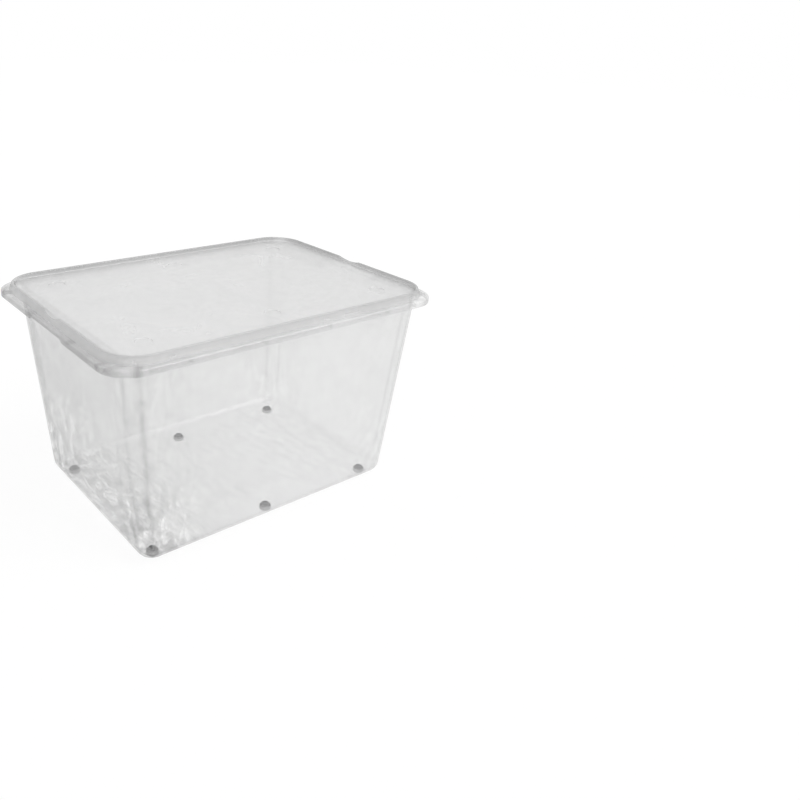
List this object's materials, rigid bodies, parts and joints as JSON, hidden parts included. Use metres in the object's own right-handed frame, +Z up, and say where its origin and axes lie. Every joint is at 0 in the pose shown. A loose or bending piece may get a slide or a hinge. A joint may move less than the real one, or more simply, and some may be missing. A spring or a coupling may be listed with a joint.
{
  "type": "potato storage bin",
  "caption": "Clear moulded storage bin with drafted walls, a grip flange, push-in feet and a lift-off lid whose vents open or close with the way round it is put on.",
  "frame": {"origin": "on the ground under the middle of the bin, at the underside of its feet", "axes": "+X along the long side, towards the end without vents; +Y to the back; +Z up"},
  "size_m": [0.542, 0.39, 0.327],
  "materials": {
    "clear_plastic": "clear, slightly milky, glossy",
    "soft_grey": "soft, matt"
  },
  "bodies": {
    "bin": {"bin_body": "clear_plastic", "foot_front_left": "soft_grey", "foot_front_middle": "soft_grey", "foot_front_right": "soft_grey", "foot_back_left": "soft_grey", "foot_back_middle": "soft_grey", "foot_back_right": "soft_grey"},
    "lid": {"lid": "clear_plastic"}
  },
  "joints": [
    {"name": "lid_lift", "type": "slide", "parent": "bin", "child": "lid", "axis": [0, 0, 1], "range_m": [0, 0.2]}
  ]
}
